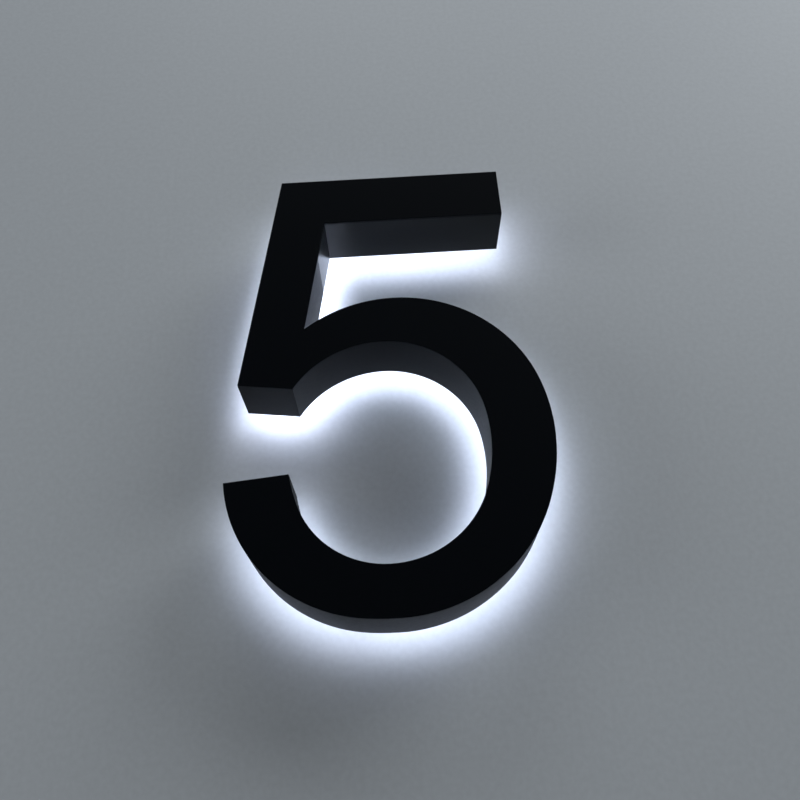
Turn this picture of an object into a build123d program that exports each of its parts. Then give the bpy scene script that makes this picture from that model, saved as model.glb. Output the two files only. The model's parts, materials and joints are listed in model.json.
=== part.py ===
from build123d import *
import os
from math import sqrt

# A halo-lit house number 5. A folded and welded metal shell stands off the wall on four pillars, and
# LED modules inside it shine back through an opal panel onto the wall. Millimetres. It lies on its
# back: +Z out of the face, +Y to the digit's top, the wall is the plane z = 0, and the origin is on
# the wall under the middle of the digit.

os.makedirs("parts", exist_ok=True)

# --- Overall sizes ---------------------------------------------------------------------------------
DIGIT_HEIGHT = 254.0           # lowest point of the bowl to the top of the bar
SHELL_DEPTH = 34.0             # face to the rear edge of the return
WALL_GAP = 15.0                # rear edge of the return to the wall, where the light comes out
FACE_THICK = 1.5               # laser-cut face plate
RETURN_THICK = 1.0             # folded side strip

# --- Outline: bar and stem ------------------------------------------------------------------------
BAR_STROKE = 30.5
BAR_LEFT_X = -54.3
BAR_RIGHT_X = 70.8
STEM_INNER_X = -30.0           # where the stem's inner side leaves the bar
FOOT_LEFT_X = -77.0            # lower left corner of the stem
FOOT_RISE = 123.2              # that corner above the lowest point of the bowl
SEAM_DROP = 24.0               # seam across the stem, below the bar's underside
SEAM_GAP = 0.1                 # where two strips of the return butt

# --- Outline: outside of the bowl, as tangent arcs from its lowest point ---------------------------
OUTER_BOTTOM_X = -0.5
OUTER_LOW_RIGHT_R = 81.3
OUTER_LOW_RIGHT_TURN = 66.0
OUTER_RIGHT_LOWER_R = 101.6
OUTER_RIGHT_UPPER_R = 97.9
OUTER_TOP_RIGHT_R = 75.8
OUTER_TOP_RIGHT_TURN = 74.6
OUTER_SHOULDER_R = 78.5
OUTER_SHOULDER_TURN = 37.7
OUTER_LOW_LEFT_R = 150.6
OUTER_LOW_LEFT_TURN = 5.7
OUTER_TAIL_R = 74.8
OUTER_TAIL_TURN = 80.5

# --- Outline: inside of the bowl ------------------------------------------------------------------
INNER_BOTTOM_X = -3.1
BOTTOM_STROKE = 25.4           # stroke at the lowest point of the bowl
INNER_LOW_RIGHT_R = 51.6
INNER_LOW_RIGHT_TURN = 70.8
INNER_RIGHT_LOWER_R = 82.3
INNER_RIGHT_UPPER_R = 84.1
INNER_TOP_RIGHT_R = 51.2
INNER_TOP_RIGHT_TURN = 79.2
INNER_CROWN_R = 56.4
INNER_CROWN_TURN = 56.4
INNER_LOW_LEFT_R = 46.0
INNER_LOW_LEFT_TURN = 71.5
INNER_TAIL_R = 94.0
INNER_TAIL_TURN = 10.1

# --- Back panel -----------------------------------------------------------------------------------
PANEL_THICK = 8.0
PANEL_RECESS = 1.0             # panel above the rear edge of the return
PANEL_CLEARANCE = 0.25         # all round, inside the return

# --- Side screws, through the return into the panel's edge ----------------------------------------
SIDE_SCREW_R = 1.5
SIDE_SCREW_HEAD_R = 2.75
SIDE_SCREW_HEAD_DEPTH = 1.1     # head's cone, all within the return and the panel's clearance
SIDE_SCREW_LENGTH = 10.0
SIDE_SCREW_SUNK = 0.1          # head below the painted surface
SCREW_CLEARANCE = 0.05
STEM_SCREW_SHARE = 0.45        # screw along the left side of the stem, from its foot
TAIL_SCREW_SHARE = 0.2         # screw along the bowl's cut end, from its outer corner

# --- Stand-off pillars ----------------------------------------------------------------------------
PILLAR_FLATS = 8.0             # hexagonal body, across its flats
PILLAR_BEVEL = 0.4
THREAD_R = 2.0                 # M4 stud on the pillar, at the thread's outside
THREAD_SPARE = 1.0             # stud past its nut
TAPPED_R = 1.65                # M4 thread in the wall end, at its tapping size
TAPPED_DEPTH = 11.0
PILLAR_HOLE_CLEARANCE = 0.35   # round the stud, in the panel and the washer
BAR_PILLAR_INSET = 20.0        # upper pillars from the bar's ends
LOWER_PILLAR_RISE = 63.0       # lower pillars above the lowest point of the bowl
NUT_FLATS = 7.0
NUT_THICK = 3.2
NUT_CLEARANCE = 0.05
WASHER_R = 4.5
WASHER_THICK = 0.8

# --- LED modules, stuck to the inside of the face --------------------------------------------------
MODULE_LENGTH = 26.0
MODULE_WIDTH = 13.0
MODULE_HEIGHT = 6.0
MODULE_CORNER = 1.5            # corners cut at 45 degrees
MODULE_BEVEL = 0.7
MODULE_RIM = 1.5               # round the board's pocket
MODULE_POCKET_DEPTH = 2.2
PAD_THICK = 0.8
PAD_MARGIN = 1.0               # tape pad inside the housing's outline
BOARD_THICK = 1.2
BOARD_CLEARANCE = 0.1
PACKAGE_SIDE = 3.0
PACKAGE_HEIGHT = 0.6
WINDOW_LENGTH = 10.0
WINDOW_WIDTH = 6.0
WINDOW_FLANGE = 1.2            # wider than the window all round, inside the housing
WINDOW_FLANGE_THICK = 0.8
WINDOW_STAND = 1.5             # window's front below the housing
WINDOW_BEVEL = 1.2
WINDOW_CLEARANCE = 0.05
BAR_MODULE_INSET = 19.5        # first module's middle from the bar's right end
BAR_MODULE_COUNT = 3
BAR_MODULE_PITCH = 43.0
STEM_MODULE_INSET = 31.0       # last stem module's middle from the foot, along the stem
STEM_MODULE_PITCH = 43.8
STEM_MODULE_ROOM = 20.0        # left free at the stem's top
BOWL_MODULE_FIRST = 108.0      # degrees about the middle of the bowl
BOWL_MODULE_LAST = -143.0
BOWL_MODULE_COUNT = 8

# --- Leads, terminal block and grommet ------------------------------------------------------------
LEAD_WIDTH = 2.6               # flat two-core lead
LEAD_THICK = 1.3
CORE_R = 0.5                   # single core, where the feed lead is split, as a six-sided rod
CORE_OVERLAP = 1.0             # cores start this far inside the unsplit lead
FEED_REACH = 6.0               # feed lead's straight run past the module's end
BLOCK_LENGTH = 18.0            # along the stroke
BLOCK_WIDTH = 15.0
BLOCK_HEIGHT = 10.0
BLOCK_SHOULDER = 3.0           # slope at each lead entry
POLE_OFFSET = 4.4              # each pole from the block's middle
CLAMP_RISE = 4.6               # clamp's middle above the panel
CLAMP_SIDE = 4.0
CLAMP_BORE = 2.6               # square, for the core
CLAMP_LENGTH = 13.0
CLAMP_CLEARANCE = 0.05
CLAMP_SCREW_R = 1.1
CLAMP_SCREW_OFFSET = 3.6       # each clamp screw from the block's middle
CLAMP_SCREW_SUNK = 0.8         # below the block's top
CLAMP_SLOT = 0.5
BLOCK_SCREW_R = 1.2
BLOCK_SCREW_HEAD_R = 2.0
BLOCK_SCREW_HEAD = 1.2
BLOCK_SCREW_BITE = 5.0         # into the panel
GROMMET_ANGLE = -103.0         # about the middle of the bowl
GROMMET_NECK_R = 6.0
GROMMET_FLANGE_R = 8.0
GROMMET_FLANGE_THICK = 1.4
GROMMET_BORE_R = 3.0
GROMMET_CLEARANCE = 0.1

# --- Levels and lines worked out from the sizes above ----------------------------------------------
REACH = 2 * DIGIT_HEIGHT       # longer than any crossing of the digit
QUARTER_TURN = 90.0            # degrees from the bowl's lowest point to its side, and on to its top
bottom_y = -DIGIT_HEIGHT / 2
top_y = DIGIT_HEIGHT / 2
bar_under_y = top_y - BAR_STROKE
bar_mid_y = top_y - BAR_STROKE / 2
seam_y = bar_under_y - SEAM_DROP
rear_z = WALL_GAP
face_z = WALL_GAP + SHELL_DEPTH
face_under_z = face_z - FACE_THICK
panel_under_z = rear_z + PANEL_RECESS
panel_top_z = panel_under_z + PANEL_THICK
panel_mid_z = panel_under_z + PANEL_THICK / 2
housing_top_z = face_under_z - PAD_THICK
housing_under_z = housing_top_z - MODULE_HEIGHT
pocket_floor_z = housing_top_z - MODULE_POCKET_DEPTH
board_top_z = housing_top_z - BOARD_CLEARANCE
board_under_z = board_top_z - BOARD_THICK
lead_z = housing_under_z + MODULE_HEIGHT / 2


def arc_run(start, heading, arcs, side):
    """Lay tangent arcs end to end, turning left (side 1) or right (side -1); gives their ends."""
    ends = []
    for radius, turn in arcs:
        arc = JernArc(start, heading, radius, side * turn)
        start, heading = arc @ 1, arc % 1
        ends.append(start)
    return ends


# --- The digit's outline ---------------------------------------------------------------------------
outer_bottom = Vector(OUTER_BOTTOM_X, bottom_y)
inner_bottom = Vector(INNER_BOTTOM_X, bottom_y + BOTTOM_STROKE)
foot_left = Vector(FOOT_LEFT_X, bottom_y + FOOT_RISE)
bar_left_top = Vector(BAR_LEFT_X, top_y)
stem_inner_top = Vector(STEM_INNER_X, bar_under_y)

with BuildSketch() as digit:
    with BuildLine():
        outer_ends = arc_run(
            outer_bottom,
            (1, 0),
            [
                (OUTER_LOW_RIGHT_R, OUTER_LOW_RIGHT_TURN),
                (OUTER_RIGHT_LOWER_R, QUARTER_TURN - OUTER_LOW_RIGHT_TURN),
                (OUTER_RIGHT_UPPER_R, QUARTER_TURN - OUTER_TOP_RIGHT_TURN),
                (OUTER_TOP_RIGHT_R, OUTER_TOP_RIGHT_TURN),
                (OUTER_SHOULDER_R, OUTER_SHOULDER_TURN),
            ],
            1,
        )
        outer_tail_ends = arc_run(
            outer_bottom,
            (-1, 0),
            [(OUTER_LOW_LEFT_R, OUTER_LOW_LEFT_TURN), (OUTER_TAIL_R, OUTER_TAIL_TURN)],
            -1,
        )
        inner_ends = arc_run(
            inner_bottom,
            (1, 0),
            [
                (INNER_LOW_RIGHT_R, INNER_LOW_RIGHT_TURN),
                (INNER_RIGHT_LOWER_R, QUARTER_TURN - INNER_LOW_RIGHT_TURN),
                (INNER_RIGHT_UPPER_R, QUARTER_TURN - INNER_TOP_RIGHT_TURN),
                (INNER_TOP_RIGHT_R, INNER_TOP_RIGHT_TURN),
                (INNER_CROWN_R, INNER_CROWN_TURN),
            ],
            1,
        )
        inner_tail_ends = arc_run(
            inner_bottom,
            (-1, 0),
            [(INNER_LOW_LEFT_R, INNER_LOW_LEFT_TURN), (INNER_TAIL_R, INNER_TAIL_TURN)],
            -1,
        )
        Line(outer_tail_ends[-1], inner_tail_ends[-1])
        Polyline(
            inner_ends[-1],
            foot_left,
            bar_left_top,
            (BAR_RIGHT_X, top_y),
            (BAR_RIGHT_X, bar_under_y),
            stem_inner_top,
            outer_ends[-1],
        )
    make_face()

digit_face = digit.face()
bowl_right = outer_ends[1]
foot_right = inner_ends[-1]
bowl_middle = (inner_bottom + inner_ends[3]) / 2
tail_outer = outer_tail_ends[-1]
tail_inner = inner_tail_ends[-1]
tail_middle = (tail_outer + tail_inner) / 2


def crossings(start, end):
    """The pieces of the line from start to end that lie on the digit, nearest to start first."""
    cut = digit_face.intersect(Edge.make_line(start, end))
    return sorted(cut.edges(), key=lambda edge: (edge.center() - start).length)


def bowl_station(angle):
    """Plane at mid stroke on the ray at this angle about the bowl: X along the stroke, Y outward."""
    ray = Vector(1, 0).rotate(Axis.Z, angle)
    middle = crossings(bowl_middle, bowl_middle + ray * REACH)[0].center()
    return Plane(origin=middle, x_dir=ray.rotate(Axis.Z, -90), z_dir=(0, 0, 1))


def lifted(plane, z):
    """The same plane moved to height z."""
    return Plane(origin=(plane.origin.X, plane.origin.Y, z), x_dir=plane.x_dir, z_dir=(0, 0, 1))


def save(name, builder):
    """Label a finished sub-part and write it."""
    builder.part.label = name
    export_step(builder.part, f"parts/{name}.step")


# --- Stations along the stroke ---------------------------------------------------------------------
stem_left_line = Line(foot_left, bar_left_top)
stem_mid_top = (stem_inner_top + stem_left_line @ ((bar_under_y - foot_left.Y) / (top_y - foot_left.Y))) / 2
stem_mid_foot = (foot_left + foot_right) / 2
stem_run = stem_mid_top - stem_mid_foot
stem_module_room = stem_run.length - STEM_MODULE_INSET - STEM_MODULE_ROOM
stem_module_count = 1 + int(stem_module_room // STEM_MODULE_PITCH)

module_planes = []
for i in range(BAR_MODULE_COUNT):
    module_x = BAR_RIGHT_X - BAR_MODULE_INSET - i * BAR_MODULE_PITCH
    module_planes.append(Plane(origin=(module_x, bar_mid_y, 0), x_dir=(-1, 0, 0), z_dir=(0, 0, 1)))
for i in reversed(range(stem_module_count)):
    rise = stem_run.normalized() * (STEM_MODULE_INSET + i * STEM_MODULE_PITCH)
    module_planes.append(Plane(origin=stem_mid_foot + rise, x_dir=-stem_run, z_dir=(0, 0, 1)))
for i in range(BOWL_MODULE_COUNT):
    sweep_share = i / (BOWL_MODULE_COUNT - 1)
    angle = BOWL_MODULE_FIRST + (BOWL_MODULE_LAST - BOWL_MODULE_FIRST) * sweep_share
    module_planes.append(bowl_station(angle))

# --- Pillar places: two on the bar, two level with each other on the bowl --------------------------
lower_pillar_y = bottom_y + LOWER_PILLAR_RISE
lower_cuts = crossings(Vector(-REACH, lower_pillar_y), Vector(REACH, lower_pillar_y))
pillar_spots = [
    Vector(BAR_LEFT_X + BAR_PILLAR_INSET, bar_mid_y),
    Vector(BAR_RIGHT_X - BAR_PILLAR_INSET, bar_mid_y),
    lower_cuts[0].center(),
    lower_cuts[-1].center(),
]


def at_pillars(z):
    """Locations at the pillars' places, at height z."""
    return Locations(*[(spot.X, spot.Y, z) for spot in pillar_spots])


# --- Side screw places: each plane lies on the return's outside, its Z pointing into the digit -----
def screw_plane(point, inward):
    """Plane of a side screw at the panel's mid height."""
    return Plane(origin=(point.X, point.Y, panel_mid_z), x_dir=(0, 0, 1), z_dir=inward)


tail_line = Line(tail_outer, tail_inner)
side_screw_planes = [
    screw_plane(Vector((BAR_LEFT_X + BAR_RIGHT_X) / 2, top_y), (0, -1, 0)),
    screw_plane(bowl_right, (-1, 0, 0)),
    screw_plane(tail_line @ TAIL_SCREW_SHARE, (tail_line % 0.5).rotate(Axis.Z, -90)),
    screw_plane(stem_left_line @ STEM_SCREW_SHARE, (stem_left_line % 0.5).rotate(Axis.Z, -90)),
]

with BuildPart() as side_screw:
    with BuildSketch(Plane.XZ):
        with BuildLine():
            Polyline(
                (0, SIDE_SCREW_SUNK),
                (SIDE_SCREW_HEAD_R, SIDE_SCREW_SUNK),
                (SIDE_SCREW_R, SIDE_SCREW_SUNK + SIDE_SCREW_HEAD_DEPTH),
                (SIDE_SCREW_R, SIDE_SCREW_LENGTH),
                (0, SIDE_SCREW_LENGTH),
                close=True,
            )
        make_face()
    revolve(axis=Axis.Z)

with BuildPart() as side_screw_hole:
    with BuildSketch(Plane.XZ):
        with BuildLine():
            Polyline(
                (0, -SIDE_SCREW_HEAD_R),
                (SIDE_SCREW_HEAD_R + SCREW_CLEARANCE, -SIDE_SCREW_HEAD_R),
                (SIDE_SCREW_HEAD_R + SCREW_CLEARANCE, SIDE_SCREW_SUNK),
                (SIDE_SCREW_R + SCREW_CLEARANCE, SIDE_SCREW_SUNK + SIDE_SCREW_HEAD_DEPTH),
                (SIDE_SCREW_R + SCREW_CLEARANCE, SIDE_SCREW_LENGTH + SCREW_CLEARANCE),
                (0, SIDE_SCREW_LENGTH + SCREW_CLEARANCE),
                close=True,
            )
        make_face()
    revolve(axis=Axis.Z)


def cut_side_screw_holes():
    """Take the countersunk side screw holes out of the part being built."""
    for plane in side_screw_planes:
        add(plane * side_screw_hole.part, mode=Mode.SUBTRACT)


# --- Shell -----------------------------------------------------------------------------------------
with BuildPart() as face_plate:
    with BuildSketch(Plane.XY.offset(face_under_z)):
        add(digit.sketch)
    extrude(amount=FACE_THICK)

save("face_plate", face_plate)

# The return is three folded strips that butt at the seam across the stem and at the bowl's cut end.
tail_plane = Plane(origin=tail_middle, x_dir=tail_line % 0.5, z_dir=(0, 0, 1))

with BuildPart() as returns:
    with BuildSketch(Plane.XY.offset(rear_z)):
        add(digit.sketch)
        offset(amount=-RETURN_THICK, kind=Kind.ARC, mode=Mode.SUBTRACT)
        with Locations((0, seam_y)):
            Rectangle(REACH, SEAM_GAP, mode=Mode.SUBTRACT)
        with Locations(tail_plane.location):
            Rectangle(SEAM_GAP, 4 * RETURN_THICK, mode=Mode.SUBTRACT)
    extrude(amount=face_under_z - rear_z)
    cut_side_screw_holes()

strip_names = ["return_bar_and_stem", "return_inner_bowl", "return_outer_bowl"]  # shortest first
for strip_name, strip_solid in zip(strip_names, returns.solids().sort_by(SortBy.VOLUME)):
    with BuildPart() as strip:
        add(strip_solid)
    save(strip_name, strip)

# --- Back panel ------------------------------------------------------------------------------------
block_plane = module_planes[-1]
grommet_plane = bowl_station(GROMMET_ANGLE)

with BuildPart() as back_panel:
    with BuildSketch(Plane.XY.offset(panel_under_z)):
        add(digit.sketch)
        offset(amount=-(RETURN_THICK + PANEL_CLEARANCE), kind=Kind.ARC, mode=Mode.REPLACE)
        with at_pillars(0):
            Circle(THREAD_R + PILLAR_HOLE_CLEARANCE, mode=Mode.SUBTRACT)
        with Locations((grommet_plane.origin.X, grommet_plane.origin.Y)):
            Circle(GROMMET_NECK_R + GROMMET_CLEARANCE, mode=Mode.SUBTRACT)
    extrude(amount=PANEL_THICK)
    with BuildSketch(lifted(block_plane, panel_top_z)):
        Circle(BLOCK_SCREW_R + SCREW_CLEARANCE)
    extrude(amount=-(BLOCK_SCREW_BITE + SCREW_CLEARANCE), mode=Mode.SUBTRACT)
    cut_side_screw_holes()

save("back_panel", back_panel)

with BuildPart() as side_screws:
    for plane in side_screw_planes:
        add(plane * side_screw.part)

save("side_screws", side_screws)

# --- Hexagonal stand-off pillars, each with a stud through the panel, a washer and a nut ------------
washer_top_z = panel_top_z + WASHER_THICK
stud_top_z = washer_top_z + NUT_THICK + THREAD_SPARE

for number, spot in enumerate(pillar_spots, 1):
    with BuildPart() as pillar:
        with BuildSketch():
            with Locations((spot.X, spot.Y)):
                RegularPolygon(PILLAR_FLATS / 2, 6, major_radius=False)
        extrude(amount=panel_under_z)
        chamfer(pillar.faces().sort_by(Axis.Z)[0].edges(), PILLAR_BEVEL)
        with BuildSketch(Plane.XY.offset(panel_under_z)):
            with Locations((spot.X, spot.Y)):
                Circle(THREAD_R)
        extrude(amount=stud_top_z - panel_under_z)
        with BuildSketch():
            with Locations((spot.X, spot.Y)):
                Circle(TAPPED_R)
        extrude(amount=TAPPED_DEPTH, mode=Mode.SUBTRACT)
    save(f"standoff_pillar_{number}", pillar)

with BuildPart() as washers:
    with BuildSketch(Plane.XY.offset(panel_top_z)):
        with at_pillars(0):
            Circle(WASHER_R)
            Circle(THREAD_R + PILLAR_HOLE_CLEARANCE, mode=Mode.SUBTRACT)
    extrude(amount=WASHER_THICK)

save("standoff_washers", washers)

with BuildPart() as nuts:
    with BuildSketch(Plane.XY.offset(washer_top_z)):
        with at_pillars(0):
            RegularPolygon(NUT_FLATS / 2, 6, major_radius=False)
            Circle(THREAD_R + NUT_CLEARANCE, mode=Mode.SUBTRACT)
    extrude(amount=NUT_THICK)

save("standoff_nuts", nuts)

# --- LED modules -----------------------------------------------------------------------------------
for number, plane in enumerate(module_planes, 1):
    with BuildPart() as housing:
        with BuildSketch(lifted(plane, housing_under_z)):
            Rectangle(MODULE_LENGTH, MODULE_WIDTH)
        extrude(amount=MODULE_HEIGHT)
        chamfer(housing.edges().filter_by(Axis.Z), MODULE_CORNER)
        chamfer(housing.faces().sort_by(Axis.Z)[0].edges(), MODULE_BEVEL)
        with BuildSketch(lifted(plane, housing_top_z)):
            Rectangle(MODULE_LENGTH - 2 * MODULE_RIM, MODULE_WIDTH - 2 * MODULE_RIM)
        extrude(amount=-MODULE_POCKET_DEPTH, mode=Mode.SUBTRACT)
        with BuildSketch(lifted(plane, pocket_floor_z)):
            Rectangle(
                WINDOW_LENGTH + 2 * (WINDOW_FLANGE + WINDOW_CLEARANCE),
                WINDOW_WIDTH + 2 * (WINDOW_FLANGE + WINDOW_CLEARANCE),
            )
        extrude(amount=-(WINDOW_FLANGE_THICK + WINDOW_CLEARANCE), mode=Mode.SUBTRACT)
        with BuildSketch(lifted(plane, pocket_floor_z)):
            Rectangle(WINDOW_LENGTH + 2 * WINDOW_CLEARANCE, WINDOW_WIDTH + 2 * WINDOW_CLEARANCE)
        extrude(amount=-MODULE_HEIGHT, mode=Mode.SUBTRACT)
    save(f"led_module_{number:02d}", housing)

    with BuildPart() as window:
        with BuildSketch(lifted(plane, pocket_floor_z)):
            Rectangle(WINDOW_LENGTH + 2 * WINDOW_FLANGE, WINDOW_WIDTH + 2 * WINDOW_FLANGE)
        extrude(amount=-WINDOW_FLANGE_THICK)
        with BuildSketch(lifted(plane, pocket_floor_z)):
            Rectangle(WINDOW_LENGTH, WINDOW_WIDTH)
        extrude(amount=housing_under_z - WINDOW_STAND - pocket_floor_z)
        chamfer(window.faces().sort_by(Axis.Z)[0].edges(), WINDOW_BEVEL)
    save(f"module_window_{number:02d}", window)

with BuildPart() as boards:
    for plane in module_planes:
        with BuildSketch(lifted(plane, board_under_z)):
            Rectangle(
                MODULE_LENGTH - 2 * (MODULE_RIM + BOARD_CLEARANCE),
                MODULE_WIDTH - 2 * (MODULE_RIM + BOARD_CLEARANCE),
            )
        extrude(amount=BOARD_THICK)

save("module_boards", boards)

with BuildPart() as packages:
    for plane in module_planes:
        with BuildSketch(lifted(plane, board_under_z)):
            Rectangle(PACKAGE_SIDE, PACKAGE_SIDE)
        extrude(amount=-PACKAGE_HEIGHT)

save("led_packages", packages)

with BuildPart() as pads:
    for plane in module_planes:
        with BuildSketch(lifted(plane, housing_top_z)):
            Rectangle(MODULE_LENGTH - 2 * PAD_MARGIN, MODULE_WIDTH - 2 * PAD_MARGIN)
        extrude(amount=PAD_THICK)

save("tape_pads", pads)


# --- Leads from each module to the next -------------------------------------------------------------
def lay_lead(start, heading, end, end_heading):
    """Lay a lead's middle line: straight, or two arcs tangent to each other and to both headings."""
    span = end - start
    if span.get_angle(heading) < 0.1:
        Line(start, end)
        return
    along = span.dot(heading + end_heading)
    spread = 1 - heading.dot(end_heading)
    pull = (sqrt(along**2 + 2 * spread * span.dot(span)) - along) / (2 * spread)
    first_pull = start + heading * pull
    last_pull = end - end_heading * pull
    joint = (first_pull + last_pull) / 2
    first = TangentArc(start, joint, tangent=heading)
    last = TangentArc(joint, end, tangent=last_pull - first_pull)
    print(f"lead bends {first.radius:.1f} {last.radius:.1f}")


with BuildPart() as jumpers:
    for here, there in zip(module_planes, module_planes[1:]):
        leave = here.origin + here.x_dir * MODULE_LENGTH / 2
        reach = there.origin - there.x_dir * MODULE_LENGTH / 2
        with BuildSketch(Plane.XY.offset(lead_z - LEAD_WIDTH / 2)):
            with BuildLine():
                lay_lead(leave, here.x_dir, reach, there.x_dir)
            trace(line_width=LEAD_THICK)
        extrude(amount=LEAD_WIDTH)

save("jumper_leads", jumpers)

# --- Grommet where the low-voltage supply comes through the panel ----------------------------------
with BuildPart() as grommet:
    with BuildSketch(lifted(grommet_plane, panel_under_z)):
        Circle(GROMMET_FLANGE_R)
    extrude(amount=-GROMMET_FLANGE_THICK)
    with BuildSketch(lifted(grommet_plane, panel_top_z)):
        Circle(GROMMET_FLANGE_R)
    extrude(amount=GROMMET_FLANGE_THICK)
    with BuildSketch(lifted(grommet_plane, panel_under_z)):
        Circle(GROMMET_NECK_R)
    extrude(amount=PANEL_THICK)
    with BuildSketch(lifted(grommet_plane, panel_under_z - GROMMET_FLANGE_THICK)):
        Circle(GROMMET_BORE_R)
    extrude(amount=PANEL_THICK + 2 * GROMMET_FLANGE_THICK, mode=Mode.SUBTRACT)

save("cable_grommet", grommet)

# --- Terminal block on the panel, under the last module -------------------------------------------
# Its own plane: X along the stroke towards the tail, Y outward, Z towards the face.
block_seat = lifted(block_plane, panel_top_z)
clamp_top = CLAMP_RISE + CLAMP_BORE / 2
screw_top = BLOCK_HEIGHT - CLAMP_SCREW_SUNK

with BuildPart() as terminal_block:
    with BuildSketch(Plane.XZ.offset(-BLOCK_WIDTH / 2)):
        with BuildLine():
            Polyline(
                (-BLOCK_LENGTH / 2, 0),
                (BLOCK_LENGTH / 2, 0),
                (BLOCK_LENGTH / 2, BLOCK_HEIGHT - BLOCK_SHOULDER),
                (BLOCK_LENGTH / 2 - BLOCK_SHOULDER, BLOCK_HEIGHT),
                (BLOCK_SHOULDER - BLOCK_LENGTH / 2, BLOCK_HEIGHT),
                (-BLOCK_LENGTH / 2, BLOCK_HEIGHT - BLOCK_SHOULDER),
                close=True,
            )
        make_face()
    extrude(amount=BLOCK_WIDTH)
    with BuildSketch(Plane.YZ.offset(-BLOCK_LENGTH / 2)):
        with Locations((-POLE_OFFSET, CLAMP_RISE), (POLE_OFFSET, CLAMP_RISE)):
            Rectangle(CLAMP_SIDE + 2 * CLAMP_CLEARANCE, CLAMP_SIDE + 2 * CLAMP_CLEARANCE)
    extrude(amount=BLOCK_LENGTH, mode=Mode.SUBTRACT)
    with BuildSketch(Plane.XY.offset(BLOCK_HEIGHT)):
        with GridLocations(2 * CLAMP_SCREW_OFFSET, 2 * POLE_OFFSET, 2, 2):
            Circle(CLAMP_SCREW_R + SCREW_CLEARANCE)
    extrude(amount=CLAMP_RISE - BLOCK_HEIGHT, mode=Mode.SUBTRACT)
    with Locations((0, 0, BLOCK_HEIGHT)):
        CounterBoreHole(
            BLOCK_SCREW_R + SCREW_CLEARANCE,
            BLOCK_SCREW_HEAD_R + SCREW_CLEARANCE,
            BLOCK_HEIGHT / 2,
        )

with BuildPart() as clamps:
    with BuildSketch(Plane.YZ.offset(-CLAMP_LENGTH / 2)):
        with Locations((-POLE_OFFSET, CLAMP_RISE), (POLE_OFFSET, CLAMP_RISE)):
            Rectangle(CLAMP_SIDE, CLAMP_SIDE)
            Rectangle(CLAMP_BORE, CLAMP_BORE, mode=Mode.SUBTRACT)
    extrude(amount=CLAMP_LENGTH)
    with BuildSketch(Plane.XY.offset(BLOCK_HEIGHT)):
        with GridLocations(2 * CLAMP_SCREW_OFFSET, 2 * POLE_OFFSET, 2, 2):
            Circle(CLAMP_SCREW_R + SCREW_CLEARANCE)
    extrude(amount=CLAMP_RISE - BLOCK_HEIGHT, mode=Mode.SUBTRACT)

with BuildPart() as clamp_screws:
    with BuildSketch(Plane.XY.offset(screw_top)):
        with GridLocations(2 * CLAMP_SCREW_OFFSET, 2 * POLE_OFFSET, 2, 2):
            Circle(CLAMP_SCREW_R)
    extrude(amount=clamp_top - screw_top)
    with BuildSketch(Plane.XY.offset(screw_top)):
        with GridLocations(2 * CLAMP_SCREW_OFFSET, 2 * POLE_OFFSET, 2, 2):
            Rectangle(2 * CLAMP_SCREW_R, CLAMP_SLOT)
    extrude(amount=-CLAMP_SLOT, mode=Mode.SUBTRACT)

with BuildPart() as block_screw:
    with BuildSketch(Plane.XY.offset(BLOCK_HEIGHT / 2)):
        Circle(BLOCK_SCREW_HEAD_R)
    extrude(amount=BLOCK_SCREW_HEAD)
    with BuildSketch(Plane.XY.offset(BLOCK_HEIGHT / 2)):
        Circle(BLOCK_SCREW_R)
    extrude(amount=-(BLOCK_HEIGHT / 2 + BLOCK_SCREW_BITE))
    with BuildSketch(Plane.XY.offset(BLOCK_HEIGHT / 2 + BLOCK_SCREW_HEAD)):
        Rectangle(2 * BLOCK_SCREW_HEAD_R, CLAMP_SLOT)
    extrude(amount=-CLAMP_SLOT, mode=Mode.SUBTRACT)

block_pieces = {
    "terminal_block": terminal_block,
    "terminal_clamps": clamps,
    "clamp_screws": clamp_screws,
    "block_screw": block_screw,
}
for piece_name, piece in block_pieces.items():
    with BuildPart() as seated:
        add(block_seat * piece.part)
    save(piece_name, seated)

# --- Feed lead, from the last module round and down to the block's clamps ---------------------------
feed_side = Plane(origin=block_plane.origin, x_dir=block_plane.x_dir, z_dir=-block_plane.y_dir)
clamp_z = panel_top_z + CLAMP_RISE
feed_turn_x = MODULE_LENGTH / 2 + FEED_REACH

with BuildPart() as feed_lead:
    with BuildSketch(feed_side):
        with BuildLine():
            run_out = Line((MODULE_LENGTH / 2, lead_z), (feed_turn_x, lead_z))
            JernArc(run_out @ 1, run_out % 1, (lead_z - clamp_z) / 2, -180)
        trace(line_width=LEAD_THICK)
    extrude(amount=LEAD_WIDTH / 2, both=True)
    for side in (-1, 1):
        split = Vector(feed_turn_x + CORE_OVERLAP, side * LEAD_WIDTH / 4, clamp_z)
        clamped = Vector(CLAMP_SCREW_OFFSET, side * POLE_OFFSET, clamp_z)
        core_start = block_plane.from_local_coords(split)
        core_end = block_plane.from_local_coords(clamped)
        with BuildSketch(Plane(origin=core_start, z_dir=core_end - core_start)):
            RegularPolygon(CORE_R, 6)
        extrude(amount=(core_end - core_start).length)

save("feed_lead", feed_lead)
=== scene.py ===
import json
from math import atan2, cos, pi, radians

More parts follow.
